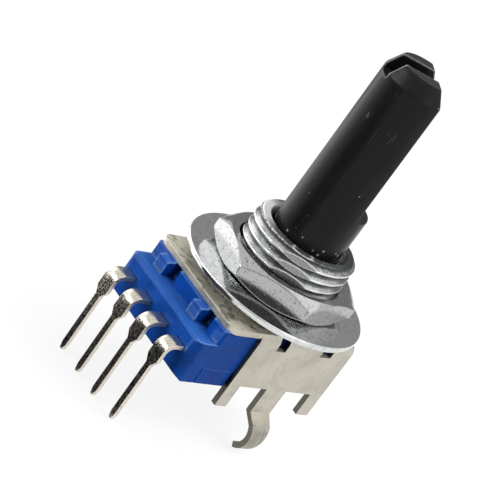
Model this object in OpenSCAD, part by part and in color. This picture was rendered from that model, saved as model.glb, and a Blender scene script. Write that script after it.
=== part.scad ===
// Rotary potentiometer for upright mounting on a circuit board, with a threaded bushing.
// Millimetres. Z is the shaft's axis and Z = 0 the top of the steel frame's plate.
// The four terminals stand out towards -Y, and +X is the side of terminal 4.

/* [Shaft] */
// Diameter of the shaft
shaft_d = 6; // [5:0.1:6.5]
// Height of the shaft's tip above the plate
shaft_top = 21.9; // [18:0.1:30]
// Height of the step where the flat begins
flat_start = 9.5; // [8:0.1:14]
// Size from the flat to the opposite side of the shaft
across_flat = 4.5; // [4:0.1:4.9]
// Direction that the flat and the wiper face, from +X towards +Y
flat_angle = 60; // [40:1:80]
// How far the tip tapers in all round
tip_taper = 0.7; // [0.2:0.05:0.9]
// Height of the tapered tip
tip_taper_h = 1.3; // [0.5:0.1:2]
// Width of the slot across the tip
slot_w = 1.8; // [0.8:0.1:2]
// Depth of the slot in the tip
slot_depth = 1.7; // [0.5:0.1:3]
// Width of the thrust flange round the foot of the shaft
flange_w = 0.3; // [0.15:0.05:0.35]
// Side of the square that drives the rotor
drive_w = 3.4; // [2.8:0.1:3.8]
// Diameter of the pilot pin below the square
pilot_d = 2.4; // [1.8:0.1:2.6]

/* [Bushing] */
// Outside diameter of the thread
thread_d = 8.9; // [8.5:0.1:9.4]
// Height of the bushing's mouth above the plate
bushing_top = 5.9; // [5:0.1:8]
// Distance across the two flats that the die leaves on the thread
thread_flats = 8.38; // [8.3:0.02:8.5]
// Distance from one ring of the thread to the next
thread_pitch = 0.88; // [0.75:0.01:1.1]
// Depth of the grooves between the rings
thread_depth = 0.32; // [0.2:0.02:0.36]
// Direction that the first of those flats faces
thread_flat_turn = -44; // [-90:1:90]
// Chamfer at the thread's start
thread_chamfer = 0.35; // [0.1:0.05:0.5]
// Distance of the bushing's shoulder from the frame's sides
shoulder_in = 0.55; // [0.3:0.05:0.8]
// Height of the shoulder above the plate
shoulder_h = 0.8; // [0.4:0.1:1]
// Play between shaft and bore, on the radius
run_gap = 0.04; // [0.02:0.01:0.08]
// Widening of the bore at its mouth, on the radius
mouth_w = 0.45; // [0.1:0.05:0.6]
// Depth of the widened mouth
mouth_depth = 0.5; // [0.2:0.1:1]
// Wall of the neck that passes through the plate
neck_wall = 0.55; // [0.4:0.05:0.6]
// Width of the lip that is rolled over under the plate
lip_w = 0.35; // [0.2:0.05:0.4]
// Thickness of that lip
lip_t = 0.35; // [0.2:0.05:0.4]

/* [Nut and washer] */
// Outside diameter of the washer
washer_d = 15.7; // [13:0.1:18]
// Thickness of the washer
washer_t = 0.5; // [0.3:0.05:0.8]
// Play between washer and thread, on the radius
washer_play = 0.2; // [0.1:0.05:0.4]
// Distance across the nut's flats
nut_af = 11; // [10.5:0.1:12]
// Height of the nut
nut_t = 2.2; // [1.6:0.1:2.6]
// Direction that one face of the nut looks
nut_turn = -48; // [-60:1:60]
// Play between nut and thread, on the radius
nut_play = 0.04; // [0.02:0.01:0.08]
// Height that the corner chamfers take off the nut at each end
nut_chamfer_h = 0.7; // [0.2:0.05:0.75]
// Countersink at both ends of the nut's thread
nut_sink = 0.3; // [0.1:0.05:0.4]

/* [Frame] */
// Thickness of the steel sheet
sheet = 0.5; // [0.4:0.05:0.6]
// Width over the two side plates
frame_w = 11.3; // [11.2:0.05:12]
// Reach of the top plate towards the terminals
plate_front = 7.75; // [7.5:0.05:9]
// Inset of the plate's front part from the side plates
plate_inset = 0.15; // [0:0.05:0.4]
// Radius of the plate's front corners
plate_corner = 0.9; // [0.3:0.1:2]
// Reach of the side plates towards the terminals
side_front = 4.3; // [4:0.1:5]
// Reach of the side plates to the rear
side_rear = 6.2; // [5.8:0.1:7]
// Outer radius of the folds
fold_r = 0.8; // [0.65:0.05:1]
// Depth of the side plates below the plate's top, between the legs
web_drop = 5.1; // [5:0.05:5.5]
// Depth of the feet that stand on the circuit board
foot_drop = 7.2; // [6.5:0.1:8]
// Width of the front foot
front_foot_w = 1.2; // [0.8:0.1:1.5]
// Width of the rear foot
rear_foot_w = 1.3; // [0.8:0.1:1.6]
// Front edge of the snap leg
leg_y = -0.1; // [-0.6:0.1:0.4]
// Width of the snap leg
leg_w = 2.15; // [1.6:0.05:2.4]
// How far the snap leg bows outwards
hook_bow = 1.3; // [0.6:0.1:1.6]
// Outer radius of the snap leg's curl
hook_r = 1.95; // [1.7:0.05:2.2]
// Angle above level where the curl begins
hook_in = 35; // [25:1:45]
// Angle below level where the curl ends
hook_out = 66; // [50:1:70]
// Depth of the snap leg's tip
hook_drop = 11; // [10.2:0.1:12]
// Width of the snap leg at its tip
hook_tip_w = 1; // [0.6:0.1:1.6]
// Centre of the window at the front of the fold
window_1_y = -1.6; // [-2.2:0.1:-1.2]
// Width of that window
window_1_w = 1.05; // [0.8:0.05:1.4]
// Centre of the window at the rear of the fold
window_2_y = 3.5; // [3:0.1:4]
// Width of that window
window_2_w = 1.2; // [0.8:0.1:1.6]
// Depth of the windows' lower edge
window_drop = 1.35; // [1:0.05:1.6]
// How far the clinched lips reach under the cover's edge
clinch_reach = 0.3; // [0.15:0.05:0.35]
// Length of a clinched lip
clinch_len = 1; // [0.6:0.1:1.4]

/* [Housing] */
// Play between housing and side plates
side_play = 0.05; // [0.02:0.01:0.1]
// How far housing and cover stand wider in front of the side plates
front_over = 0.2; // [0:0.05:0.35]
// Reach of the housing's upper wall towards the terminals
body_front = 7.9; // [7.6:0.05:8.1]
// Chamfer along the top of that wall
wall_chamfer = 0.15; // [0.05:0.05:0.25]
// Reach of the housing to the rear
body_rear = 7.1; // [6.9:0.1:7.8]
// Reach of the terminal block
block_front = 9.85; // [9.2:0.05:10.3]
// Depth of the terminal block's top
ledge_drop = 1.85; // [1.5:0.05:2.1]
// Chamfer along the block's upper front edge
ledge_chamfer = 0.2; // [0.05:0.05:0.35]
// Depth of the underside of block and cover
block_drop = 5.55; // [5.5:0.05:6]
// Radius of the block's upright corners
block_corner = 0.8; // [0.4:0.1:1.6]
// Length of the slope under the block's front
block_slope_y = 0.8; // [0.4:0.1:1.6]
// Height of that slope
block_slope_z = 0.4; // [0.2:0.05:0.9]
// Radius of the housing's rear corners
rear_corner = 0.9; // [0.4:0.1:1.6]
// Half of the distance between the two notches
notch_x = 2.62; // [2.4:0.02:3]
// How far the notches are moved towards terminal 4
notch_shift = 0.5; // [0:0.05:1]
// Width of those notches
notch_w = 0.9; // [0.5:0.05:1]
// Depth of those notches
notch_depth = 0.7; // [0.4:0.05:0.9]
// Width of the pad beside each notch
pad_w = 1.25; // [0.8:0.05:1.6]
// How far the pads stand out from the wall
pad_out = 0.7; // [0.3:0.05:0.9]
// Depth where the housing ends and the cover begins
split_drop = 4.1; // [4.05:0.05:4.3]
// Thickness of the housing's roof
roof_t = 0.5; // [0.4:0.05:0.6]
// Wall between the rotor's room and the housing's side
chamber_wall = 0.5; // [0.4:0.05:0.6]
// Thickness of the housing's side walls beside the board
wall_t = 0.5; // [0.4:0.05:0.55]
// Thickness of its front wall
front_wall_t = 0.65; // [0.55:0.05:0.8]
// Half of the angle that the fixed stop takes up
stop_half = 17.5; // [15:0.5:18]

/* [Cover] */
// Reach of the cover towards the terminal block
cover_front = 7.75; // [7.6:0.05:7.9]
// Height of the cover's wide edge
cover_edge_h = 0.35; // [0.25:0.05:0.45]
// Inset of the cover below that edge
cover_step = 0.35; // [0.32:0.01:0.4]
// Depth of the pockets in the cover's underside
pocket_depth = 0.7; // [0.3:0.05:0.9]
// Width of the cover's ribs and rim
cover_rib = 0.8; // [0.6:0.05:1]

/* [Element] */
// Thickness of the phenolic board
board_t = 0.6; // [0.5:0.05:0.7]
// Play round the board
board_play = 0.05; // [0.03:0.01:0.1]
// Thickness of the printed films
film_t = 0.04; // [0.03:0.01:0.06]
// Distance of the carbon track's middle from the rotor's edge
track_in = 0.38; // [0.36:0.02:0.5]
// Width of the carbon track
track_w = 0.74; // [0.6:0.02:0.8]
// Distance of the collector ring's middle from the carbon track's
collector_in = 1.27; // [1.15:0.01:1.4]
// Width of the collector ring
collector_w = 0.7; // [0.5:0.05:0.8]
// Half of the gap in the carbon track, as an angle
track_gap_half = 22; // [18:1:26]

/* [Rotor] */
// Thickness of the rotor's disc
rotor_t = 0.6; // [0.5:0.05:0.65]
// Depth of the rotor's top below the housing's roof
rotor_drop = 0.7; // [0.6:0.05:0.75]
// Radius of the pegs that hold the contact spring
peg_r = 0.28; // [0.2:0.01:0.32]
// Half of the angle that the rotor's stop lug takes up
lug_half = 12; // [8:0.5:12]
// Thickness of the contact spring
spring_t = 0.15; // [0.1:0.01:0.2]
// Width of each spring arm
arm_w = 0.5; // [0.3:0.05:0.6]
// Height that a spring arm stays above its track
brush_gap = 0.04; // [0.02:0.01:0.08]

/* [Terminals] */
// Spacing of the terminals
pitch = 2.54; // [2.5:0.01:2.6]
// Thickness of the terminal sheet
term_t = 0.4; // [0.3:0.05:0.45]
// Width of a terminal where it leaves the block
term_w = 1.3; // [1.1:0.05:1.5]
// Depth of a terminal's top face
term_drop = 2.95; // [2.85:0.05:3.05]
// Distance of the terminals' front face from the shaft's axis
term_front = 11.8; // [11.6:0.1:13]
// How much nearer to the block terminal 4 stands
term_4_in = 0.3; // [0:0.05:0.5]
// Outer radius of the terminals' bend
term_bend = 0.95; // [0.7:0.05:1.2]
// Depth where the broad part ends
shoulder_drop = 4.8; // [4.4:0.1:5.2]
// Height of the taper below it
shoulder_taper = 0.6; // [0.3:0.1:1]
// Width of the pin that enters the circuit board
pin_w = 0.55; // [0.45:0.05:0.7]
// Depth of the pins' tips
pin_drop = 10.95; // [10:0.05:12]
// Height of the pointed tip
pin_point = 0.6; // [0.3:0.1:1]
// Diameter of a rivet's barrel
rivet_d = 0.8; // [0.6:0.05:0.9]
// Diameter of a rivet's heads
rivet_head_d = 1.3; // [1.1:0.05:1.4]
// Height of a rivet's head
rivet_head_h = 0.2; // [0.1:0.05:0.25]

/* [Hidden] */
$fn = 64;
eps = 0.01;
// far enough to cut through anything
far = 60;
// small clearances: between fixed pieces, above and below moving ones, and round them
fit = 0.02;
end_gap = 0.06;
side_gap = 0.15;

shaft_r = shaft_d / 2;
bore_r = shaft_r + run_gap;
thread_r = thread_d / 2;
neck_r = bore_r + neck_wall;
lip_r = neck_r + lip_w;
flange_r = shaft_r + flange_w;
// levels, from the plate downwards
lip_z = -sheet - lip_t;
flange_z = lip_z - end_gap;
roof_z = -sheet - roof_t;
rotor_z = roof_z - rotor_drop;
contact_z = rotor_z - rotor_t;
board_z = -term_drop - term_t;
board_under = board_z - board_t;
split_z = -split_drop;
edge_z = split_z - cover_edge_h;
under_z = -block_drop;
bearing_z = under_z + 0.4;
brush_z = board_z + film_t + brush_gap;
// levels above the plate
washer_z = shoulder_h;
nut_z = washer_z + washer_t;
// plan
side_x = frame_w / 2;
half_in = side_x - sheet;
half_w = half_in - side_play;
front_half = half_w + front_over;
chamber_r = half_w - chamber_wall;
rotor_r = chamber_r - 2 * side_gap;
track_r = rotor_r - track_in;
collector_r = track_r - collector_in;
stop_in = flange_r + side_gap;
// the housing is wider in front of this, and the cover ends its broad part a little before it
wide_y = -side_front - side_play;
wide_end = -side_front - side_gap;
board_half = half_w - wall_t;
board_front = body_front - front_wall_t;
board_rear = body_rear - wall_t;
board_corner = 0.5;
rivet_y = -board_front + rivet_head_d * 0.75;
term_rear = rivet_y + rivet_head_d * 0.62;
term_xs = [for (i = [0:3]) (i - 1.5) * pitch];
// middle of the snap leg's curl, and the level where the leg starts to lean out
curl_x = side_x + hook_bow - hook_r;
curl_z = -hook_drop + hook_r * sin(hook_out);
lead_slope = 0.7;
lead_z = curl_z + hook_r * sin(hook_in) + (curl_x + hook_r * cos(hook_in) - side_x) * lead_slope;

// a rectangle from corner to corner
module rect(x0, y0, x1, y1) { translate([x0, y0]) square([x1 - x0, y1 - y0]); }

// a block from corner to corner
module block(a, b) { translate(a) cube(b - a); }

// a plan with rounded corners: from -front to rear, with one radius in front and one behind
module rounded_plan(half, front, rear, r_front, r_rear) {
    rect(-half, -front + r_front, half, rear - r_rear);
    rounded_end(half, -front, r_front, 1);
    if (r_rear > 0) rounded_end(half, rear, r_rear, -1);
}

// the strip between two rounded corners, with the corners; dir points into the plan
module rounded_end(half, y, r, dir) {
    rect(-half + r, min(y, y + dir * r), half - r, max(y, y + dir * r));
    for (s = [-1, 1]) intersection() {
        translate([s * (half - r), y + dir * r]) circle(r);
        rect(s > 0 ? half - r : -half, min(y, y + dir * r), s > 0 ? half : -half + r, max(y, y + dir * r));
    }
}

// a strip of sheet bent through a right angle: it comes in along the first axis and turns down
module bent_corner(r_out, t) {
    intersection() {
        difference() { circle(r_out); circle(r_out - t); }
        rect(0, 0, r_out, r_out);
    }
}

// a ring sector between two radii and two angles
module sector(r0, r1, a0, a1, z0, z1) {
    translate([0, 0, z0]) rotate([0, 0, a0]) rotate_extrude(angle = a1 - a0) rect(r0, 0, r1, z1 - z0);
}

// an outline drawn in Y and Z, as thick as given from the plane X = x towards +X
module from_side(x, thick) {
    translate([x, 0, 0]) rotate([90, 0, 90]) linear_extrude(thick) children();
}

// an outline drawn in X and Z, from the plane Y = y towards +Y
module from_front(y, thick) {
    translate([0, y + thick, 0]) rotate([90, 0, 0]) linear_extrude(thick) children();
}

// what is drawn on the +X side, on both sides
module both_sides() {
    children();
    mirror([1, 0, 0]) children();
}

// Steel frame: one folded sheet with the windows, the feet, the snap legs and the clinched lips
module frame() {
    color("#c3beb2") difference() {
        union() {
            folded_sheet();
            both_sides() {
                snap_leg();
                foot(-side_front, front_foot_w);
                foot(side_rear - rear_foot_w, rear_foot_w);
                clinched_lip(window_1_y);
                clinched_lip(window_2_y);
            }
        }
        both_sides() {
            window(window_1_y, window_1_w);
            window(window_2_y, window_2_w);
        }
        translate([0, 0, -sheet - 1]) cylinder(r = neck_r + fit, h = sheet + 2);
    }
}

// top plate and side plates, with the plate's tongue over the terminal side
module folded_sheet() {
    from_front(-side_front, side_front + side_rear) {
        rect(-side_x + fold_r, -sheet, side_x - fold_r, 0);
        for (s = [0, 1]) mirror([s, 0]) {
            translate([side_x - fold_r, -fold_r]) bent_corner(fold_r, sheet);
            rect(half_in, -web_drop, side_x, -fold_r);
        }
    }
    translate([0, 0, -sheet]) linear_extrude(sheet)
        rounded_plan(side_x - plate_inset, plate_front, 0, plate_corner, 0);
}

module foot(y, w) {
    block([half_in, y, -foot_drop], [side_x, y + w, -web_drop + eps]);
}

module window(y, w) {
    block([half_in - clinch_reach, y - w / 2, -window_drop], [far, y + w / 2, far]);
}

// a lip that is pushed in below the side plate's window, under the cover's edge
module clinched_lip(y) {
    from_front(y - clinch_len / 2, clinch_len) polygon([
        [half_in + eps, -web_drop], [half_in + eps, edge_z],
        [half_in - clinch_reach, edge_z], [half_in - clinch_reach, (edge_z - web_drop) / 2]]);
}

// snap leg: straight, then out and round, narrower towards its tip
module snap_leg() {
    mid_y = leg_y + leg_w / 2;
    block([half_in, leg_y, lead_z], [side_x, leg_y + leg_w, -web_drop + eps]);
    intersection() {
        from_front(leg_y, leg_w) snap_leg_curl();
        from_side(0, far) polygon([[leg_y, lead_z + eps], [leg_y + leg_w, lead_z + eps],
            [mid_y + hook_tip_w / 2, -hook_drop], [mid_y - hook_tip_w / 2, -hook_drop]]);
    }
}

// that part seen from the front
module snap_leg_curl() {
    in_r = hook_r - sheet;
    c = cos(hook_in);
    s = sin(hook_in);
    polygon([[half_in, lead_z + eps], [side_x, lead_z + eps], [side_x, lead_z],
             [curl_x + hook_r * c, curl_z + hook_r * s], [curl_x + in_r * c, curl_z + in_r * s],
             [half_in, curl_z + in_r * s + (curl_x + in_r * c - half_in) * lead_slope]]);
    intersection() {
        translate([curl_x, curl_z]) difference() { circle(hook_r); circle(in_r); }
        // it starts a little before the straight part ends, so that the two are one
        polygon([[curl_x, curl_z], [curl_x + far * cos(hook_in + 2), curl_z + far * sin(hook_in + 2)],
                 [curl_x + far * cos(hook_out), curl_z - far * sin(hook_out)]]);
    }
}

// Zinc bushing: threaded barrel, shoulder, neck through the plate and rolled lip, with the shaft's bore
module bushing() {
    shoulder_r = side_x - shoulder_in;
    thread_end = bushing_top - thread_chamfer;
    groove_w = thread_pitch * 0.4;
    grooves = floor((thread_end - shoulder_h) / thread_pitch - 0.15);
    // rings stand for the turns of the thread, the lowest groove first
    rings = [for (i = [grooves - 1:-1:0], side = [-1, 0, 1])
        [thread_r - (side == 0 ? thread_depth : 0),
         thread_end - (i + 0.75) * thread_pitch + side * groove_w]];
    color("#a9a9a6") difference() {
        rotate_extrude() polygon(concat([
            [bore_r, lip_z], [lip_r, lip_z], [lip_r, -sheet], [neck_r, -sheet], [neck_r, 0],
            [shoulder_r, 0], [shoulder_r, shoulder_h], [thread_r, shoulder_h]], rings, [
            [thread_r, thread_end], [thread_r - thread_chamfer, bushing_top],
            [bore_r + mouth_w, bushing_top], [bore_r, bushing_top - mouth_depth]]));
        for (a = [0, 180]) rotate([0, 0, thread_flat_turn + a])
            block([thread_flats / 2, -far, shoulder_h], [far, far, far]);
    }
}

module washer() {
    color("#c9c9c6") translate([0, 0, washer_z]) difference() {
        cylinder(d = washer_d, h = washer_t);
        translate([0, 0, -1]) cylinder(r = thread_r + washer_play, h = washer_t + 2);
    }
}

module hex_nut() {
    corner_r = nut_af / 2 / cos(30);
    flat_r = nut_af / 2 * 0.97;
    bore = thread_r + nut_play;
    // the cones run on a little past the corners
    over = 0.05;
    low = nut_chamfer_h * (corner_r + over - flat_r) / (corner_r - flat_r);
    color("#b4b4b0") translate([0, 0, nut_z]) difference() {
        intersection() {
            rotate([0, 0, nut_turn + 30]) cylinder(r = corner_r, h = nut_t, $fn = 6);
            rotate_extrude() polygon([[0, 0], [flat_r, 0], [corner_r + over, low],
                [corner_r + over, nut_t - low], [flat_r, nut_t], [0, nut_t]]);
        }
        rotate_extrude() polygon([[0, -1], [bore + nut_sink + 1, -1], [bore, nut_sink],
            [bore, nut_t - nut_sink], [bore + nut_sink + 1, nut_t + 1], [0, nut_t + 1]]);
    }
}

// Blue housing: rotor chamber open below, with the terminal block in front
module housing() {
    color("#1446b4") difference() {
        union() {
            housing_walls();
            terminal_block();
            for (s = [-1, 1]) wall_pad(notch_shift + s * notch_x - notch_w / 2 - pad_w);
        }
        rotor_chamber();
        board_room();
        for (s = [-1, 1]) translate([notch_shift + s * notch_x, 0, 0])
            block([-notch_w / 2, -far, -ledge_drop], [notch_w / 2, -body_front + notch_depth, 0]);
        // openings behind the frame's windows: the front one goes through to the rotor
        both_sides() {
            block([chamber_r - 0.6, window_1_y - window_1_w / 2, contact_z],
                  [far, window_1_y + window_1_w / 2, 0]);
            block([half_w - wall_t / 2, window_2_y - window_2_w / 2, -window_drop],
                  [far, window_2_y + window_2_w / 2, 0]);
        }
    }
}

// the walls, wider in front of the side plates and chamfered under the plate's folds
module housing_walls() {
    fold_in = fold_r - sheet;
    difference() {
        translate([0, 0, split_z]) linear_extrude(-split_z - sheet) {
            rounded_plan(half_w, body_front, body_rear, 0.3, rear_corner);
            rounded_plan(front_half, body_front, wide_y, 0.3, 0);
        }
        both_sides() from_front(wide_y, far) polygon([
            [half_w - fold_in, -sheet], [half_w + 1, -sheet - fold_in - 1], [half_w + 1, -sheet]]);
        from_side(-far, 2 * far) polygon([[-body_front + wall_chamfer, -sheet],
            [-body_front - 1, -sheet - wall_chamfer - 1], [-body_front - 1, -sheet]]);
    }
}

// a pad on the ledge, from x on towards its notch, chamfered as the wall is
module wall_pad(x) {
    pad_y = -body_front - pad_out;
    pad_z = -sheet - wall_chamfer;
    from_side(x, pad_w) polygon([
        [-body_front + wall_chamfer, -ledge_drop - eps], [pad_y, -ledge_drop - eps],
        [pad_y, pad_z - wall_chamfer],
        [pad_y + wall_chamfer, pad_z], [-body_front + wall_chamfer, pad_z]]);
}

// the block below the ledge, sloped under its front and open behind to the board
module terminal_block() {
    seam_y = -cover_front - fit;
    intersection() {
        translate([0, 0, under_z]) linear_extrude(block_drop - ledge_drop)
            rounded_plan(front_half, block_front, wide_y, block_corner, 0);
        from_side(-far, 2 * far) polygon([
            [-block_front + ledge_chamfer, -ledge_drop], [-block_front, -ledge_drop - ledge_chamfer],
            [-block_front, under_z + block_slope_z], [-block_front + block_slope_y, under_z],
            [seam_y, under_z], [seam_y, split_z],
            [-body_front + 1, split_z], [-body_front + 1, -ledge_drop]]);
    }
}

// the round room of the rotor with the fixed stop in it, and the hole for the bushing's lip
module rotor_chamber() {
    difference() {
        translate([0, 0, split_z - 1]) cylinder(r = chamber_r, h = roof_z - split_z + 1);
        sector(stop_in, chamber_r + 1, -90 - stop_half, -90 + stop_half, rotor_z + end_gap, 0);
    }
    translate([0, 0, roof_z - eps]) cylinder(r = lip_r + side_gap, h = roof_t + 1);
}

// the board's seat, the room over the rivets and the slots that the terminals pass through
module board_room() {
    slot_half = term_w / 2 + fit;
    room_half = term_xs[3] + slot_half;
    translate([0, 0, split_z - 1]) linear_extrude(board_z - split_z + 1)
        rounded_plan(board_half + board_play, board_front + board_play, board_rear + board_play,
                     board_corner, board_corner);
    block([-room_half, -board_front, board_z - eps],
          [room_half, term_rear + side_gap, -term_drop + rivet_head_h + side_gap]);
    for (x = term_xs)
        block([x - slot_half, -far, board_z], [x + slot_half, -board_front + 0.5, -term_drop + fit]);
    // a shallow room over the printed leads, so that only the rear half bears on the board
    block([-room_half, -board_front, board_z - eps], [room_half, 0, board_z + film_t + fit]);
}

// Blue cover: closes the housing from below and presses the board to its seat
module bottom_cover() {
    low_half = half_w - cover_step;
    rear = body_rear - cover_step;
    color("#1446b4") difference() {
        union() {
            translate([0, 0, edge_z]) linear_extrude(cover_edge_h)
                rounded_plan(half_w, cover_front, body_rear, 0.2, rear_corner);
            translate([0, 0, under_z]) linear_extrude(edge_z - under_z + eps)
                rounded_plan(low_half, cover_front, rear, 0.2, rear_corner);
            translate([0, 0, under_z]) linear_extrude(split_z - under_z)
                rounded_plan(front_half, cover_front, wide_end, 0.2, 0);
            translate([0, 0, split_z - eps]) linear_extrude(board_under - split_z + eps)
                rounded_plan(board_half - side_gap, board_front - side_gap, board_rear - side_gap,
                             board_corner, board_corner);
        }
        // four pockets that leave a rim, a cross and a band round the bearing
        both_sides() {
            x1 = low_half - cover_rib;
            band = pilot_d / 2 + cover_rib;
            block([cover_rib / 2, band, under_z - 1], [x1, rear - cover_rib, under_z + pocket_depth]);
            block([cover_rib / 2, -cover_front + cover_rib, under_z - 1],
                  [x1, -band, under_z + pocket_depth]);
        }
        translate([0, 0, bearing_z]) cylinder(r = pilot_d / 2 + run_gap, h = far);
        // a trough for the rivets' feet
        trough = rivet_head_d / 2 + side_gap;
        block([term_xs[0] - trough, rivet_y - trough, board_under - rivet_head_h - side_gap],
              [term_xs[3] + trough, rivet_y + trough, far]);
    }
}

// Phenolic board that carries the tracks
module element_board() {
    color("#8a5a34") translate([0, 0, board_under]) difference() {
        linear_extrude(board_t)
            rounded_plan(board_half, board_front, board_rear, board_corner, board_corner);
        translate([0, 0, -1]) cylinder(r = pilot_d / 2 + side_gap, h = board_t + 2);
        for (x = term_xs) translate([x, rivet_y, -1]) cylinder(r = rivet_d / 2 + fit, h = board_t + 2);
    }
}

// Carbon film: an open ring whose gap faces the terminals
module carbon_track() {
    color("#232323") sector(track_r - track_w / 2, track_r + track_w / 2,
                            -90 + track_gap_half, 270 - track_gap_half, board_z, board_z + film_t);
}

// Silver film: the collector ring with its lead, the lands of the carbon ring's ends and the tap
module silver_tracks() {
    lead_w = 0.5;
    out_r = track_r + track_w / 2;
    front_y = term_rear + fit;
    neck_y = -out_r - fit;
    land_a = 90 - track_gap_half - 10;
    land_x = out_r * cos(land_a);
    color("#b9b6ab") translate([0, 0, board_z]) linear_extrude(film_t) {
        difference() {
            circle(collector_r + collector_w / 2);
            circle(collector_r - collector_w / 2);
        }
        // from terminal 2 through the gap of the carbon ring to the collector
        lead_x = term_xs[1] + lead_w;
        polygon([[term_xs[1] - lead_w / 2, front_y], [term_xs[1] + lead_w / 2, front_y],
                 [lead_x + lead_w / 2, neck_y], [lead_x + lead_w / 2, -collector_r],
                 [lead_x - lead_w / 2, -collector_r], [lead_x - lead_w / 2, neck_y]]);
        difference() {
            union() {
                // from terminals 1 and 3 to the two ends of the carbon ring
                for (e = [[-1, term_xs[0]], [1, term_xs[2]]]) {
                    x_end = e[0] * land_x;
                    polygon([[e[1] - lead_w / 2, front_y], [e[1] + lead_w / 2, front_y],
                             [x_end + lead_w / 2, -out_r * 0.8], [x_end - lead_w / 2, -out_r * 0.8]]);
                }
                // the tap, from terminal 4 straight back to the side of the carbon ring
                rect(term_xs[3] - lead_w / 2, front_y, term_xs[3] + lead_w / 2, -out_r / 3);
            }
            circle(out_r + fit);
        }
    }
}

// Terminal: sheet strip riveted to the board, bent down in front of the block
module terminal(x, front = term_front) {
    c_y = -front + term_bend;
    c_z = -term_drop - term_bend;
    color("#9b9892") difference() {
        intersection() {
            from_side(x - term_w / 2, term_w) {
                rect(c_y, board_z, term_rear, -term_drop);
                translate([c_y, c_z]) mirror([1, 0]) bent_corner(term_bend, term_t);
                rect(-front, -pin_drop, -front + term_t, c_z);
            }
            translate([x, 0, 0]) from_front(-far, far) polygon([
                [-term_w / 2, 0], [-term_w / 2, -shoulder_drop],
                [-pin_w / 2, -shoulder_drop - shoulder_taper], [-pin_w / 2, -pin_drop + pin_point],
                [-pin_w / 4, -pin_drop], [pin_w / 4, -pin_drop],
                [pin_w / 2, -pin_drop + pin_point], [pin_w / 2, -shoulder_drop - shoulder_taper],
                [term_w / 2, -shoulder_drop], [term_w / 2, 0]]);
        }
        translate([x, rivet_y, board_z - 1]) cylinder(r = rivet_d / 2 + fit, h = 2);
    }
}
module terminal_1() { terminal(term_xs[0]); }
module terminal_2() { terminal(term_xs[1]); }
module terminal_3() { terminal(term_xs[2]); }
module terminal_4() { terminal(term_xs[3], term_front - term_4_in); }

// Four rivets through the terminals and the board; their hammered heads have twelve sides
module terminal_rivets() {
    low_z = board_under - rivet_head_h;
    top_z = -term_drop + rivet_head_h;
    color("#c8b070") for (x = term_xs) translate([x, rivet_y, 0]) {
        translate([0, 0, low_z]) cylinder(d = rivet_head_d, h = rivet_head_h, $fn = 12);
        translate([0, 0, low_z]) cylinder(d = rivet_d, h = top_z - low_z, $fn = 12);
        translate([0, 0, -term_drop]) cylinder(d = rivet_head_d, h = rivet_head_h, $fn = 12);
    }
}

// Rotor: phenolic disc on the shaft's square, with the stop lug above and the spring's pegs below
module rotor() {
    hole = drive_w / 2 + fit;
    peg_head_h = 0.15;
    color("#7a4a2c") rotate([0, 0, flat_angle]) {
        difference() {
            translate([0, 0, contact_z]) cylinder(r = rotor_r, h = rotor_t);
            block([-hole, -hole, contact_z - 1], [hole, hole, 0]);
        }
        sector(stop_in, rotor_r - fit, -lug_half, lug_half, rotor_z - eps, roof_z - end_gap);
        for (a = [90, 270]) rotate([0, 0, a]) translate([collector_r, 0, contact_z - spring_t]) {
            cylinder(r = peg_r, h = spring_t + eps);
            translate([0, 0, -peg_head_h]) cylinder(r = peg_r + 0.15, h = peg_head_h);
        }
    }
}

// Contact spring: a ring under the rotor, with one arm that trails on each track
module wiper_contact() {
    root_y = -1.5;
    ring_out = collector_r + peg_r + side_gap;
    color("#c79a4a") rotate([0, 0, flat_angle]) {
        translate([0, 0, contact_z - spring_t]) linear_extrude(spring_t) difference() {
            union() {
                circle(ring_out);
                rect(collector_r - arm_w, root_y - arm_w, track_r + arm_w / 2, root_y);
            }
            circle(drive_w / 2);
            rect(0, root_y, far, 1);
            for (a = [90, 270]) rotate(a) translate([collector_r, 0]) circle(peg_r + fit);
        }
        // each arm slopes down to its brush and turns up at the end
        for (r = [collector_r, track_r]) from_side(r - arm_w / 2, arm_w) polygon([
            [root_y - 0.1, contact_z], [root_y - 0.1, contact_z - spring_t], [root_y, contact_z - spring_t],
            [-0.1, brush_z], [0.15, brush_z], [0.5, brush_z + 0.35], [0.38, brush_z + 0.45],
            [0.05, brush_z + spring_t], [root_y + 0.3, contact_z]]);
    }
}

// Shaft: round at its foot, flattened above, with a slotted and tapered tip
module shaft() {
    flat_x = across_flat - shaft_r;
    taper_z = shaft_top - tip_taper_h;
    pilot_z = bearing_z + end_gap;
    color("#1c1c1e") rotate([0, 0, flat_angle]) {
        difference() {
            rotate_extrude() polygon([
                [0, flange_z], [shaft_r, flange_z], [shaft_r, taper_z],
                [shaft_r - tip_taper, shaft_top], [0, shaft_top]]);
            block([flat_x, -far, flat_start], [far, far, far]);
            // the flat tapers in at the tip as the round side does
            translate([0, far / 2, 0]) rotate([90, 0, 0]) linear_extrude(far) polygon([
                [flat_x + eps, taper_z], [flat_x - tip_taper, shaft_top], [flat_x - tip_taper, shaft_top + 1],
                [far, shaft_top + 1], [far, taper_z]]);
            block([-far, -slot_w / 2, shaft_top - slot_depth], [far, slot_w / 2, far]);
        }
        translate([0, 0, rotor_z]) cylinder(r = flange_r, h = flange_z - rotor_z);
        block([-drive_w / 2, -drive_w / 2, contact_z], [drive_w / 2, drive_w / 2, rotor_z + eps]);
        translate([0, 0, pilot_z]) cylinder(d = pilot_d, h = contact_z - pilot_z + eps);
    }
}

frame();
bushing();
washer();
hex_nut();
housing();
bottom_cover();
element_board();
carbon_track();
silver_tracks();
terminal_1();
terminal_2();
terminal_3();
terminal_4();
terminal_rivets();
rotor();
wiper_contact();
shaft();
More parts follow.
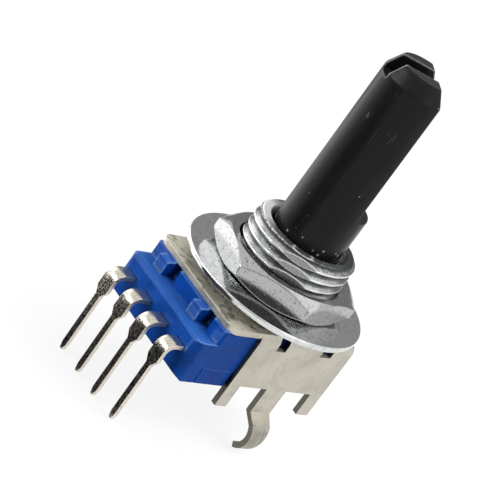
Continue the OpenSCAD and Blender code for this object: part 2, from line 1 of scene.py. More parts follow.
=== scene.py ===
# Upright rotary potentiometer for a circuit board: blue housing in a folded steel frame, threaded
# bushing with washer and nut, black slotted shaft and four bent terminals.
# Metres; Z is the shaft's axis, Z = 0 the top of the frame's plate, -Y the side of the terminals.
import math

import bmesh
import bpy
from mathutils import Matrix, Vector


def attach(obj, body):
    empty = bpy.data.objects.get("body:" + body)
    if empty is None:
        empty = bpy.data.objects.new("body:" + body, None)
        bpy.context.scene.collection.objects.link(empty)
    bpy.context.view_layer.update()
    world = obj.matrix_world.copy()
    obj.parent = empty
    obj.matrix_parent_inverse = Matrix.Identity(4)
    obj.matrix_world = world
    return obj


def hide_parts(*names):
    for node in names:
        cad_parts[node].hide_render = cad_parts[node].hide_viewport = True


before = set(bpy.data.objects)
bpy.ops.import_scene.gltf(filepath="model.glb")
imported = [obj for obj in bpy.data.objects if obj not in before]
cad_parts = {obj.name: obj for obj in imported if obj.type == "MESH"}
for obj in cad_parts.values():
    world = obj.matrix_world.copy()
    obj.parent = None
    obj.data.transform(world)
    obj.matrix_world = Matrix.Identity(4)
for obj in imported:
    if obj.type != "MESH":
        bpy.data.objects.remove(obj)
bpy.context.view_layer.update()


# ---- Bottom cover ----
# The lid under the housing, moulded in the same blue polyester (PBT) with a satin skin. The clinched lips
# of the frame hold it, and it presses the track board to its seat. Its edges are rounded by the mould.
MM = 0.001
# how a copy of a CAD node is cleaned: how near two points are one, how level two faces are one, and from
# which bend on an edge is a real one
SAME_POINT_MM, LEVEL_DEG, EDGE_DEG = 0.002, 0.6, 24


def linear(hex_colour):
    """An sRGB hex value as a linear colour."""
    parts = [int(hex_colour[i:i + 2], 16) / 255 for i in (1, 3, 5)]
    return [c / 12.92 if c <= 0.04045 else ((c + 0.055) / 1.055) ** 2.4 for c in parts] + [1.0]


def add(tree, kind, inputs=(), **settings):
    """Adds a node with its settings. An input takes a value, or the output that it is linked to."""
    node = tree.nodes.new(kind)
    for name, value in settings.items():
        setattr(node, name, value)
    for key, value in dict(inputs).items():
        if isinstance(value, bpy.types.NodeSocket):
            tree.links.new(value, node.inputs[key])
        else:
            node.inputs[key].default_value = value
    return node


def surface(name, **constants):
    """A new material with the constants on its shader; also gives its tree and the place in millimetres."""
    material = bpy.data.materials.new(name)
    material.use_nodes = True
    tree = material.node_tree
    shader = tree.nodes["Principled BSDF"]
    for socket, value in constants.items():
        shader.inputs[socket.replace("_", " ")].default_value = value
    place = add(tree, "ShaderNodeTexCoord").outputs["Object"]
    place_mm = add(tree, "ShaderNodeVectorMath", {0: place, "Scale": 1 / MM}, operation="SCALE").outputs[0]
    return material, tree, shader, place_mm


def make_plain(obj):
    """Makes the evaluated mesh of an object its own plain mesh, and removes the modifiers."""
    bpy.context.view_layer.update()
    graph = bpy.context.evaluated_depsgraph_get()
    mesh = bpy.data.meshes.new_from_object(obj.evaluated_get(graph), preserve_all_data_layers=True,
                                           depsgraph=graph)
    obj.modifiers.clear()
    obj.data = mesh


def rounded_piece(name, node, material, edge_mm=0.0, body="body", cut_face=None):
    """A copy of a CAD node whose edges are rounded as the maker's tool leaves them, in its place. With no
    width the edges stay, and the material rounds them. cut_face tells by a face's normal and its middle in
    millimetres whether the punch left it bare, and the attribute "cut" keeps that for the material."""
    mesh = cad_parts[node].data.copy()
    mesh.name = name
    bm = bmesh.new()
    bm.from_mesh(mesh)
    bmesh.ops.remove_doubles(bm, verts=bm.verts, dist=SAME_POINT_MM * MM)
    bmesh.ops.dissolve_limit(bm, angle_limit=math.radians(LEVEL_DEG), verts=bm.verts, edges=bm.edges)
    if cut_face:
        marks = bm.faces.layers.float.new("cut")
        for face in bm.faces:
            face[marks] = float(cut_face(face.normal, face.calc_center_median() / MM))
    for face in bm.faces:
        face.smooth = True
    bm.to_mesh(mesh)
    bm.free()
    mesh.materials.clear()
    mesh.materials.append(material)
    piece = bpy.data.objects.new(name, mesh)
    bpy.context.collection.objects.link(piece)
    if edge_mm:
        edges = piece.modifiers.new("rounded edges", "BEVEL")
        edges.width = edge_mm * MM
        edges.segments = 2
        edges.limit_method = "ANGLE"
        edges.angle_limit = math.radians(EDGE_DEG)
        edges.use_clamp_overlap = False
    else:
        mesh.set_sharp_from_angle(angle=math.radians(EDGE_DEG))
    shade = piece.modifiers.new("flat faces stay flat", "WEIGHTED_NORMAL")
    shade.weight = 80
    shade.keep_sharp = True
    make_plain(piece)
    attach(piece, body)
    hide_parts(node)


def blue_polyester():
    """Satin moulded PBT: deep blue with a faint cloudiness, a fine spark-eroded grain and dust. The grain is
    drawn 0.14 mm wide, because the real 0.03 mm wouldn't show. The edges are rounded by 0.09 mm here. What
    looks up and its edges are painted lighter as painted light and highlight, and gaps darker as painted
    shade."""
    material, tree, shader, mm = surface("moulded_PBT_blue", IOR=1.57, Specular_IOR_Level=0.08)
    cloud = add(tree, "ShaderNodeTexNoise", {"Vector": mm, "Scale": 1 / 2.5, "Detail": 3.0}).outputs[0]
    cloud = add(tree, "ShaderNodeMapRange", {"Value": cloud, "From Min": 0.35, "From Max": 0.65}).outputs[0]
    blue = add(tree, "ShaderNodeMix", {"Factor": cloud, "A": linear("#09449B"), "B": linear("#1054B8")},
               data_type="RGBA").outputs["Result"]
    # fine dust, which shows as paler points 0.05 mm wide
    pale_marks = add(tree, "ShaderNodeTexNoise", {"Vector": mm, "Scale": 1 / 0.11, "Detail": 2.0}).outputs[0]
    pale_marks = add(tree, "ShaderNodeMapRange", {"Value": pale_marks, "From Min": 0.66, "From Max": 0.74,
                                            "To Max": 0.35}).outputs[0]
    # what looks up is painted lighter in faint streaks along the ledge, as painted light from above, and
    # joins the dust
    facing = add(tree, "ShaderNodeNewGeometry").outputs["Normal"]
    upward = add(tree, "ShaderNodeSeparateXYZ", {0: facing}).outputs["Z"]
    upward = add(tree, "ShaderNodeMapRange", {"Value": upward, "From Min": 0.4, "From Max": 1.0}).outputs[0]
    along = add(tree, "ShaderNodeMapping", {"Vector": mm, "Scale": (0.7, 3.0, 3.0)}).outputs[0]
    painted_light = add(tree, "ShaderNodeTexNoise", {"Vector": along, "Scale": 1.0, "Detail": 4.0}).outputs[0]
    painted_light = add(tree, "ShaderNodeMapRange", {"Value": painted_light, "From Min": 0.35, "From Max": 0.75,
                                              "To Min": 0.25, "To Max": 0.6}).outputs[0]
    painted_light = add(tree, "ShaderNodeMath", {0: painted_light, 1: upward}, operation="MULTIPLY").outputs[0]
    pale_marks = add(tree, "ShaderNodeMath", {0: pale_marks, 1: painted_light}, operation="MAXIMUM").outputs[0]
    blue = add(tree, "ShaderNodeMix", {"Factor": pale_marks, "A": blue, "B": linear("#4E86D8")},
               data_type="RGBA").outputs["Result"]
    # the rounded edges of what looks up are painted paler as a painted highlight
    edge = add(tree, "ShaderNodeBevel", {"Radius": 0.09 * MM}, samples=6).outputs["Normal"]
    inside = add(tree, "ShaderNodeAmbientOcclusion", {"Distance": 0.36 * MM}, samples=8, inside=True,
                 only_local=True).outputs["AO"]
    painted_edge_highlight = add(tree, "ShaderNodeMapRange", {"Value": inside, "From Min": 0.82, "From Max": 0.6,
                                            "To Max": 0.8}).outputs[0]
    rounded_up = add(tree, "ShaderNodeSeparateXYZ", {0: edge}).outputs["Z"]
    rounded_up = add(tree, "ShaderNodeMapRange", {"Value": rounded_up, "From Min": 0.1,
                                                  "From Max": 0.5}).outputs[0]
    painted_edge_highlight = add(tree, "ShaderNodeMath", {0: painted_edge_highlight, 1: rounded_up}, operation="MULTIPLY").outputs[0]
    blue = add(tree, "ShaderNodeMix", {"Factor": painted_edge_highlight, "A": blue, "B": linear("#78A0E2")},
               data_type="RGBA").outputs["Result"]
    # narrow gaps and the openings behind the frame's windows are darkened as painted shade
    painted_gap_shade = add(tree, "ShaderNodeAmbientOcclusion", {"Distance": 1.1 * MM}, samples=8).outputs["AO"]
    painted_gap_shade = add(tree, "ShaderNodeMapRange", {"Value": painted_gap_shade, "From Min": 0.5, "From Max": 0.22,
                                           "To Max": 0.94}).outputs[0]
    blue = add(tree, "ShaderNodeMix", {"Factor": painted_gap_shade, "A": blue, "B": linear("#120F12")},
               data_type="RGBA").outputs["Result"]
    tree.links.new(blue, shader.inputs["Base Color"])
    rough = add(tree, "ShaderNodeMapRange", {"Value": cloud, "To Min": 0.26, "To Max": 0.38}).outputs[0]
    tree.links.new(rough, shader.inputs["Roughness"])
    grain = add(tree, "ShaderNodeTexNoise", {"Vector": mm, "Scale": 1 / 0.14, "Detail": 4.0}).outputs[0]
    bump = add(tree, "ShaderNodeBump", {"Height": grain, "Strength": 0.5, "Distance": 0.02 * MM,
                                        "Normal": edge}).outputs[0]
    tree.links.new(bump, shader.inputs["Normal"])
    return material


blue = blue_polyester()
rounded_piece("cover_moulding", "bottom_cover", blue)


# ---- Track board, films and rivets ----
# Brown phenolic paper laminate, punched to size. The carbon and silver films are screen-printed on it,
# and four brass rivets join it to the terminals. All of it is closed in by the housing.
def dress(node, material):
    """Puts a material on a CAD node that keeps its own mesh."""
    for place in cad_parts[node].material_slots:
        place.material = material


def laminate():
    """Phenolic paper: flat brown, mottled by the paper, with fibres that run along the sheet."""
    material, tree, shader, mm = surface("punched_phenolic_paper", Roughness=0.48, IOR=1.6)
    stretched = add(tree, "ShaderNodeMapping", {"Vector": mm, "Scale": (6.0, 1.2, 6.0)}).outputs[0]
    fibre = add(tree, "ShaderNodeTexNoise", {"Vector": stretched, "Scale": 1.0, "Detail": 6.0,
                                             "Roughness": 0.7}).outputs[0]
    brown = add(tree, "ShaderNodeMix", {"Factor": fibre, "A": linear("#6E4526"), "B": linear("#A06B3C")},
                data_type="RGBA").outputs["Result"]
    tree.links.new(brown, shader.inputs["Base Color"])
    bump = add(tree, "ShaderNodeBump", {"Height": fibre, "Strength": 0.3, "Distance": 0.01 * MM}).outputs[0]
    tree.links.new(bump, shader.inputs["Normal"])
    return material


def printed_film(name, dark, light, metallic, roughness):
    """A screen-printed film: fine grains in a binder, a little uneven from the mesh of the screen. The real
    grains are a few thousandths of a millimetre, and are drawn 0.06 mm wide to show."""
    material, tree, shader, mm = surface(name, Metallic=metallic)
    grains = add(tree, "ShaderNodeTexNoise", {"Vector": mm, "Scale": 1 / 0.06, "Detail": 2.0}).outputs[0]
    wave = add(tree, "ShaderNodeTexNoise", {"Vector": mm, "Scale": 1 / 0.8, "Detail": 2.0}).outputs[0]
    both = add(tree, "ShaderNodeMath", {0: grains, 1: wave, 2: 0.25}, operation="MULTIPLY_ADD").outputs[0]
    tone = add(tree, "ShaderNodeMix", {"Factor": both, "A": linear(dark), "B": linear(light)},
               data_type="RGBA").outputs["Result"]
    tree.links.new(tone, shader.inputs["Base Color"])
    rough = add(tree, "ShaderNodeMapRange", {"Value": grains, "To Min": roughness - 0.08,
                                             "To Max": roughness + 0.08}).outputs[0]
    tree.links.new(rough, shader.inputs["Roughness"])
    bump = add(tree, "ShaderNodeBump", {"Height": grains, "Strength": 0.4, "Distance": 0.004 * MM}).outputs[0]
    tree.links.new(bump, shader.inputs["Normal"])
    return material


def drawn_metal(name, dark, light, roughness):
    """Pressed or turned bright metal: marks of the tool along Z, drawn 0.1 mm wide to show, and a breath of
    tarnish."""
    material, tree, shader, mm = surface(name, Metallic=1.0)
    marks = add(tree, "ShaderNodeMapping", {"Vector": mm, "Scale": (9.0, 9.0, 1.5)}).outputs[0]
    marks = add(tree, "ShaderNodeTexNoise", {"Vector": marks, "Scale": 1.0, "Detail": 5.0}).outputs[0]
    tarnish = add(tree, "ShaderNodeTexNoise", {"Vector": mm, "Scale": 1 / 0.9, "Detail": 4.0}).outputs[0]
    tone = add(tree, "ShaderNodeMix", {"Factor": tarnish, "A": linear(dark), "B": linear(light)},
               data_type="RGBA").outputs["Result"]
    tree.links.new(tone, shader.inputs["Base Color"])
    rough = add(tree, "ShaderNodeMapRange", {"Value": marks, "To Min": roughness - 0.1,
                                             "To Max": roughness + 0.12}).outputs[0]
    tree.links.new(rough, shader.inputs["Roughness"])
    bump = add(tree, "ShaderNodeBump", {"Height": marks, "Strength": 0.3, "Distance": 0.006 * MM}).outputs[0]
    tree.links.new(bump, shader.inputs["Normal"])
    return material


dress("element_board", laminate())
dress("carbon_track", printed_film("printed_carbon", "#141414", "#2C2B2A", 0.0, 0.55))
dress("silver_tracks", printed_film("printed_silver", "#8E8A80", "#C9C5B8", 1.0, 0.42))
dress("terminal_rivets", drawn_metal("headed_brass", "#A08544", "#D9C078", 0.3))


# ---- Terminals ----
# Four strips of tin-plated brass, punched, bent down in front of the block and pointed. They are bright and
# smooth round the bend, grainy on the outside of the upright pin, where the grains are darkened as painted
# shade, and pale on the punched edges.
# The fourth stands a little further in than the others.
def tinned_strip():
    """Tin plate over brass: pale and warm, satin, with small dark specks, drawn 0.13 mm wide to show. The
    punched edges are paler and rougher, with fine lines across the sheet."""
    material, tree, shader, mm = surface("tin_plated_brass_strip", Metallic=1.0)
    cut = add(tree, "ShaderNodeAttribute", attribute_name="cut", attribute_type="GEOMETRY").outputs["Fac"]
    speck = add(tree, "ShaderNodeTexNoise", {"Vector": mm, "Scale": 1 / 0.13, "Detail": 3.0,
                                             "Roughness": 0.65}).outputs[0]
    bright = add(tree, "ShaderNodeMapRange", {"Value": speck, "From Min": 0.3, "From Max": 0.5}).outputs[0]
    tin = add(tree, "ShaderNodeMix", {"Factor": bright, "A": linear("#8F8A82"), "B": linear("#D3CDC1")},
              data_type="RGBA").outputs["Result"]
    bare = add(tree, "ShaderNodeMix", {"Factor": bright, "A": linear("#B3AA98"), "B": linear("#E3DCCD")},
               data_type="RGBA").outputs["Result"]
    # the outer side of the strip is grainy where it stands upright, and smooth round the bend; its grains are
    # darkened there as painted shade on the faces that look to -Y
    facing = add(tree, "ShaderNodeNewGeometry").outputs["Normal"]
    along_y = add(tree, "ShaderNodeSeparateXYZ", {0: facing}).outputs["Y"]
    front = add(tree, "ShaderNodeMapRange", {"Value": along_y, "From Min": -0.85,
                                             "From Max": -0.98}).outputs[0]
    grain = add(tree, "ShaderNodeMapRange", {"Value": speck, "From Min": 0.56, "From Max": 0.44}).outputs[0]
    grain = add(tree, "ShaderNodeMath", {0: grain, 1: front}, operation="MULTIPLY").outputs[0]
    tin = add(tree, "ShaderNodeMix", {"Factor": grain, "A": tin, "B": linear("#2B2A27")},
              data_type="RGBA").outputs["Result"]
    tone = add(tree, "ShaderNodeMix", {"Factor": cut, "A": tin, "B": bare},
               data_type="RGBA").outputs["Result"]
    tree.links.new(tone, shader.inputs["Base Color"])
    rough = add(tree, "ShaderNodeMapRange", {"Value": speck, "To Min": 0.34, "To Max": 0.14}).outputs[0]
    rough = add(tree, "ShaderNodeMath", {0: cut, 1: 0.14, 2: rough}, operation="MULTIPLY_ADD").outputs[0]
    tree.links.new(rough, shader.inputs["Roughness"])
    across = add(tree, "ShaderNodeMapping", {"Vector": mm, "Scale": (2.0, 3.0, 14.0)}).outputs[0]
    lines = add(tree, "ShaderNodeTexNoise", {"Vector": across, "Scale": 1.0, "Detail": 3.0}).outputs[0]
    lines = add(tree, "ShaderNodeMath", {0: lines, 1: cut}, operation="MULTIPLY").outputs[0]
    coarse = add(tree, "ShaderNodeMapRange", {"Value": front, "To Min": 0.3, "To Max": 2.6}).outputs[0]
    height = add(tree, "ShaderNodeMath", {0: speck, 1: coarse, 2: lines}, operation="MULTIPLY_ADD").outputs[0]
    bump = add(tree, "ShaderNodeBump", {"Height": height, "Strength": 0.6, "Distance": 0.02 * MM}).outputs[0]
    tree.links.new(bump, shader.inputs["Normal"])
    return material


def strip_cut(normal, middle):
    """Whether a face of a terminal is cut by the punch: the two sides of the strip, and the pin's end."""
    return abs(normal.x) > 0.9 or abs(normal.z) > 0.99 and middle.z < -5


tin = tinned_strip()
for number in (1, 2, 3, 4):
    rounded_piece(f"terminal_strip_{number}", f"terminal_{number}", tin, edge_mm=0.05,
                  cut_face=strip_cut)


# ---- Rotor and contact spring ----
# A moulded phenolic disc with a stop lug, pushed on the shaft's square. A phosphor bronze spring is held
# under it by two headed pegs, and its two arms trail on the carbon and the silver ring.
def moulded_phenolic():
    """Wood-filled phenolic: reddish brown and dull, with short paler fibres in it."""
    material, tree, shader, mm = surface("moulded_phenolic_brown", IOR=1.6)
    filler = add(tree, "ShaderNodeTexNoise", {"Vector": mm, "Scale": 1 / 0.15, "Detail": 5.0,
                                              "Roughness": 0.7}).outputs[0]
    brown = add(tree, "ShaderNodeMix", {"Factor": filler, "A": linear("#4E2814"), "B": linear("#86502E")},
                data_type="RGBA").outputs["Result"]
    tree.links.new(brown, shader.inputs["Base Color"])
    rough = add(tree, "ShaderNodeMapRange", {"Value": filler, "To Min": 0.4, "To Max": 0.6}).outputs[0]
    tree.links.new(rough, shader.inputs["Roughness"])
    bump = add(tree, "ShaderNodeBump", {"Height": filler, "Strength": 0.3, "Distance": 0.01 * MM}).outputs[0]
    tree.links.new(bump, shader.inputs["Normal"])
    return material


dress("rotor", moulded_phenolic())
dress("wiper_contact", drawn_metal("stamped_phosphor_bronze", "#A36E3C", "#D9A468", 0.28))


# ---- Housing ----
# One blue PBT moulding: the rotor's chamber with its fixed stop, and in front the terminal block with its
# ledge, two pads and two notches. The frame's side plates clasp it, and the board closes it from below.
rounded_piece("housing_moulding", "housing", blue)


# ---- Frame ----
# Cold-rolled steel strip, 0.5 mm thick, tin-plated before it was punched and folded: top plate, side
# plates with windows, feet and snap legs. The punched edges show bare, grey and torn steel.
def plated_strip():
    """Bright tin plate on strip: warm grey and satin, with dull stains and torn edges. The rolling lines
    along Y are drawn 0.1 mm apart to show."""
    material, tree, shader, mm = surface("tin_plated_steel_strip", Metallic=1.0)
    cut = add(tree, "ShaderNodeAttribute", attribute_name="cut", attribute_type="GEOMETRY").outputs["Fac"]
    stain = add(tree, "ShaderNodeTexNoise", {"Vector": mm, "Scale": 1 / 1.6, "Detail": 6.0,
                                             "Roughness": 0.65, "Distortion": 0.6}).outputs[0]
    stain = add(tree, "ShaderNodeMapRange", {"Value": stain, "From Min": 0.5, "From Max": 0.8}).outputs[0]
    plate = add(tree, "ShaderNodeMix", {"Factor": stain, "A": linear("#C6C2B5"), "B": linear("#AFAB9F")},
                data_type="RGBA").outputs["Result"]
    # the plate's top is rougher, is painted lighter as painted light from above, and has blotches of painted
    # shade
    facing = add(tree, "ShaderNodeNewGeometry").outputs["Normal"]
    upward = add(tree, "ShaderNodeSeparateXYZ", {0: facing}).outputs["Z"]
    upward = add(tree, "ShaderNodeMapRange", {"Value": upward, "From Min": 0.5, "From Max": 0.9}).outputs[0]
    painted_shade_patches = add(tree, "ShaderNodeTexNoise", {"Vector": mm, "Scale": 1 / 1.1, "Detail": 5.0,
                                              "Roughness": 0.6, "Distortion": 1.0}).outputs[0]
    painted_shade_patches = add(tree, "ShaderNodeMapRange", {"Value": painted_shade_patches, "From Min": 0.52, "From Max": 0.66,
                                              "To Max": 0.75}).outputs[0]
    painted_shade_patches = add(tree, "ShaderNodeMath", {0: painted_shade_patches, 1: upward}, operation="MULTIPLY").outputs[0]
    plate = add(tree, "ShaderNodeMix", {"Factor": upward, "A": plate, "B": linear("#DAD6C8")},
                data_type="RGBA").outputs["Result"]
    plate = add(tree, "ShaderNodeMix", {"Factor": painted_shade_patches, "A": plate, "B": linear("#5E5D55")},
                data_type="RGBA").outputs["Result"]
    tear = add(tree, "ShaderNodeTexNoise", {"Vector": mm, "Scale": 1 / 0.12, "Detail": 4.0,
                                            "Roughness": 0.7}).outputs[0]
    steel = add(tree, "ShaderNodeMix", {"Factor": tear, "A": linear("#23211E"), "B": linear("#8E8A80")},
                data_type="RGBA").outputs["Result"]
    tone = add(tree, "ShaderNodeMix", {"Factor": cut, "A": plate, "B": steel},
               data_type="RGBA").outputs["Result"]
    # the hooks of the snap legs, more than 7.7 mm below the plate, are darker grey in streaks across the
    # strip
    across = add(tree, "ShaderNodeMapping", {"Vector": mm, "Scale": (2.0, 6.0, 1.0)}).outputs[0]
    hook_streaks = add(tree, "ShaderNodeTexNoise", {"Vector": across, "Scale": 1.0, "Detail": 4.0}).outputs[0]
    hook_streaks = add(tree, "ShaderNodeMapRange", {"Value": hook_streaks, "From Min": 0.3, "From Max": 0.6,
                                              "To Min": 0.1, "To Max": 0.6}).outputs[0]
    level = add(tree, "ShaderNodeSeparateXYZ", {0: mm}).outputs["Z"]
    hook = add(tree, "ShaderNodeMapRange", {"Value": level, "From Min": -7.7, "From Max": -8.5}).outputs[0]
    hook_streaks = add(tree, "ShaderNodeMath", {0: hook_streaks, 1: hook}, operation="MULTIPLY").outputs[0]
    tone = add(tree, "ShaderNodeMix", {"Factor": hook_streaks, "A": tone, "B": linear("#6F6C64")},
               data_type="RGBA").outputs["Result"]
    # pin-holes in the tin, 0.1 mm wide
    hole = add(tree, "ShaderNodeTexNoise", {"Vector": mm, "Scale": 1 / 0.2, "Detail": 3.0}).outputs[0]
    hole = add(tree, "ShaderNodeMapRange", {"Value": hole, "From Min": 0.69, "From Max": 0.74,
                                            "To Max": 0.7}).outputs[0]
    tone = add(tree, "ShaderNodeMix", {"Factor": hole, "A": tone, "B": linear("#5A574F")},
               data_type="RGBA").outputs["Result"]
    tree.links.new(tone, shader.inputs["Base Color"])
    along = add(tree, "ShaderNodeMapping", {"Vector": mm, "Scale": (11.0, 0.7, 11.0)}).outputs[0]
    rolled = add(tree, "ShaderNodeTexNoise", {"Vector": along, "Scale": 1.0, "Detail": 3.0}).outputs[0]
    rough = add(tree, "ShaderNodeMapRange", {"Value": rolled, "To Min": 0.34, "To Max": 0.46}).outputs[0]
    patch = add(tree, "ShaderNodeTexNoise", {"Vector": mm, "Scale": 1 / 2.4, "Detail": 2.0}).outputs[0]
    patch = add(tree, "ShaderNodeMapRange", {"Value": patch, "From Min": 0.44, "From Max": 0.56}).outputs[0]
    matt = add(tree, "ShaderNodeMath", {0: stain, 1: patch}, operation="MAXIMUM").outputs[0]
    rough = add(tree, "ShaderNodeMath", {0: matt, 1: 0.16, 2: rough}, operation="MULTIPLY_ADD").outputs[0]
    rough = add(tree, "ShaderNodeMath", {0: cut, 1: -0.12, 2: rough}, operation="MULTIPLY_ADD").outputs[0]
    rough = add(tree, "ShaderNodeMath", {0: upward, 1: 0.22, 2: rough}, operation="MULTIPLY_ADD").outputs[0]
    tree.links.new(rough, shader.inputs["Roughness"])
    torn = add(tree, "ShaderNodeMath", {0: tear, 1: cut}, operation="MULTIPLY").outputs[0]
    height = add(tree, "ShaderNodeMath", {0: torn, 1: 4.0, 2: rolled}, operation="MULTIPLY_ADD").outputs[0]
    edge = add(tree, "ShaderNodeBevel", {"Radius": 0.07 * MM}, samples=6).outputs[0]
    bump = add(tree, "ShaderNodeBump", {"Height": height, "Strength": 0.35, "Distance": 0.01 * MM,
                                        "Normal": edge}).outputs[0]
    tree.links.new(bump, shader.inputs["Normal"])
    return material


def frame_cut(normal, middle):
    """Whether a face of the frame is bare from the punch: front and rear edges, and those below the plate
    that look down. The edge of the tongue in front of the plate keeps the plate's colour as a painted
    highlight."""
    looks_down = middle.z < -1 and normal.z < -0.98
    on_tongue = middle.z > -0.5 and middle.y < -4.3
    return looks_down or abs(normal.y) > 0.9 and not on_tongue


rounded_piece("frame_sheet", "frame", plated_strip(), cut_face=frame_cut)


# ---- Bushing ----
# Die-cast zinc with dull nickel plate, staked to the frame's plate. Its right-hand thread is cast with it,
# and the halves of the die leave two flats on it. The crests carry a painted highlight, and the roots and
# flats are painted darker as painted shade.
BUSHING_SECTION = dict(bore=3.04, lip=3.94, neck=3.59, shoulder=5.1, thread=4.45, lip_z=-0.85, plate_z=-0.5,
                       shoulder_z=0.8, top=5.9, chamfer=0.35, mouth=0.45, mouth_depth=0.5)


def bushing_outline(s):
    """The closed section of the bushing in X and Z, in millimetres, from its foot round the outside."""
    return [(s["bore"], s["lip_z"]), (s["lip"], s["lip_z"]), (s["lip"], s["plate_z"]),
            (s["neck"], s["plate_z"]), (s["neck"], 0), (s["shoulder"], 0),
            (s["shoulder"], s["shoulder_z"]), (s["thread"], s["shoulder_z"]),
            (s["thread"], s["top"] - s["chamfer"]), (s["thread"] - s["chamfer"], s["top"]),
            (s["bore"] + s["mouth"], s["top"]), (s["bore"], s["top"] - s["mouth_depth"])]


def turned_thread_tree():
    """Sweeps a section round Z and cuts a helical thread and two flats in its outer wall."""
    tree = bpy.data.node_groups.new("turned_thread", "GeometryNodeTree")
    tree.interface.new_socket("Geometry", in_out="OUTPUT", socket_type="NodeSocketGeometry")
    tree.interface.new_socket("Section", in_out="INPUT", socket_type="NodeSocketGeometry")
    for name in ("Crest radius", "Flat distance", "Flat turn", "Pitch", "Depth", "Crest height",
                 "Thread from"):
        tree.interface.new_socket(name, in_out="INPUT", socket_type="NodeSocketFloat")
    for name in ("Steps round", "Steps along"):
        tree.interface.new_socket(name, in_out="INPUT", socket_type="NodeSocketInt")
    tree.interface.new_socket("Finish", in_out="INPUT", socket_type="NodeSocketMaterial")
    size = tree.nodes.new("NodeGroupInput").outputs

    curve = add(tree, "GeometryNodeMeshToCurve", {"Mesh": size["Section"]}).outputs[0]
    grid = add(tree, "GeometryNodeMeshGrid", {"Size X": 1.0, "Size Y": 1.0, "Vertices X": size["Steps round"],
                                              "Vertices Y": size["Steps along"]}).outputs["Mesh"]
    place = add(tree, "GeometryNodeInputPosition").outputs[0]
    place = add(tree, "ShaderNodeSeparateXYZ", {0: place}).outputs
    turn = add(tree, "ShaderNodeMath", {0: place["X"], 1: math.tau}, operation="MULTIPLY").outputs[0]
    along = add(tree, "ShaderNodeMath", {0: place["Y"], 1: 0.5}, operation="ADD").outputs[0]
    sample = add(tree, "GeometryNodeSampleCurve", {"Curves": curve, "Factor": along},
                 use_all_curves=True, mode="FACTOR").outputs["Position"]
    sample = add(tree, "ShaderNodeSeparateXYZ", {0: sample}).outputs
    radius, height = sample["X"], sample["Z"]

    # how far a point is from the nearest crest: 0 on it, 0.5 in the root between two
    climb = add(tree, "ShaderNodeMath", {0: height, 1: size["Crest height"]}, operation="SUBTRACT").outputs[0]
    climb = add(tree, "ShaderNodeMath", {0: climb, 1: size["Pitch"]}, operation="DIVIDE").outputs[0]
    turns = add(tree, "ShaderNodeMath", {0: turn, 1: math.tau}, operation="DIVIDE").outputs[0]
    climb = add(tree, "ShaderNodeMath", {0: climb, 1: turns}, operation="SUBTRACT").outputs[0]
    nearest = add(tree, "ShaderNodeMath", {0: climb}, operation="ROUND").outputs[0]
    climb = add(tree, "ShaderNodeMath", {0: climb, 1: nearest}, operation="SUBTRACT").outputs[0]
    climb = add(tree, "ShaderNodeMath", {0: climb}, operation="ABSOLUTE").outputs[0]
    # the crest is level over a tenth of the pitch, and from there the flank slopes down to the root
    root = add(tree, "ShaderNodeMapRange", {"Value": climb, "From Min": 0.05, "From Max": 0.46}).outputs[0]
    wall = add(tree, "ShaderNodeMath", {0: root, 1: size["Depth"]}, operation="MULTIPLY").outputs[0]
    wall = add(tree, "ShaderNodeMath", {0: size["Crest radius"], 1: wall}, operation="SUBTRACT").outputs[0]

    # the radius of the two flats at this turn, with the cosine kept from 0 between them
    flat = add(tree, "ShaderNodeMath", {0: turn, 1: size["Flat turn"]}, operation="SUBTRACT").outputs[0]
    flat = add(tree, "ShaderNodeMath", {0: flat}, operation="COSINE").outputs[0]
    flat = add(tree, "ShaderNodeMath", {0: flat}, operation="ABSOLUTE").outputs[0]
    flat = add(tree, "ShaderNodeMath", {0: flat, 1: 0.1}, operation="MAXIMUM").outputs[0]
    flat = add(tree, "ShaderNodeMath", {0: size["Flat distance"], 1: flat}, operation="DIVIDE").outputs[0]
    on_flat = add(tree, "ShaderNodeMath", {0: flat, 1: size["Crest radius"]},
                  operation="LESS_THAN").outputs[0]
    # a crest, and on a flat the lips 0.06 mm wide where it meets the thread, get a painted highlight
    lip = add(tree, "ShaderNodeMath", {0: wall, 1: flat}, operation="SUBTRACT").outputs[0]
    lip = add(tree, "ShaderNodeMath", {0: lip}, operation="ABSOLUTE").outputs[0]
    lip = add(tree, "ShaderNodeMapRange", {"Value": lip, "From Min": 0.06 * MM, "From Max": 0.0}).outputs[0]
    crest = add(tree, "ShaderNodeMapRange", {"Value": root, "From Min": 0.16, "From Max": 0.02}).outputs[0]
    painted_crest_highlight = add(tree, "ShaderNodeMix", {"Factor": on_flat, "A": crest, "B": lip},
                data_type="FLOAT").outputs["Result"]
    wall = add(tree, "ShaderNodeMath", {0: wall, 1: flat}, operation="MINIMUM").outputs[0]
    wall = add(tree, "ShaderNodeMath", {0: wall, 1: radius}, operation="MINIMUM").outputs[0]
    threaded = add(tree, "ShaderNodeMath", {0: height, 1: size["Thread from"]},
                   operation="GREATER_THAN").outputs[0]
    radius = add(tree, "ShaderNodeMix", {"Factor": threaded, "A": radius, "B": wall},
                 data_type="FLOAT").outputs["Result"]
    root = add(tree, "ShaderNodeMath", {0: root, 1: threaded}, operation="MULTIPLY").outputs[0]
    on_flat = add(tree, "ShaderNodeMath", {0: on_flat, 1: threaded}, operation="MULTIPLY").outputs[0]
    painted_crest_highlight = add(tree, "ShaderNodeMath", {0: painted_crest_highlight, 1: threaded}, operation="MULTIPLY").outputs[0]

    cosine = add(tree, "ShaderNodeMath", {0: turn}, operation="COSINE").outputs[0]
    sine = add(tree, "ShaderNodeMath", {0: turn}, operation="SINE").outputs[0]
    x = add(tree, "ShaderNodeMath", {0: radius, 1: cosine}, operation="MULTIPLY").outputs[0]
    y = add(tree, "ShaderNodeMath", {0: radius, 1: sine}, operation="MULTIPLY").outputs[0]
    swept = add(tree, "ShaderNodeCombineXYZ", {"X": x, "Y": y, "Z": height}).outputs[0]
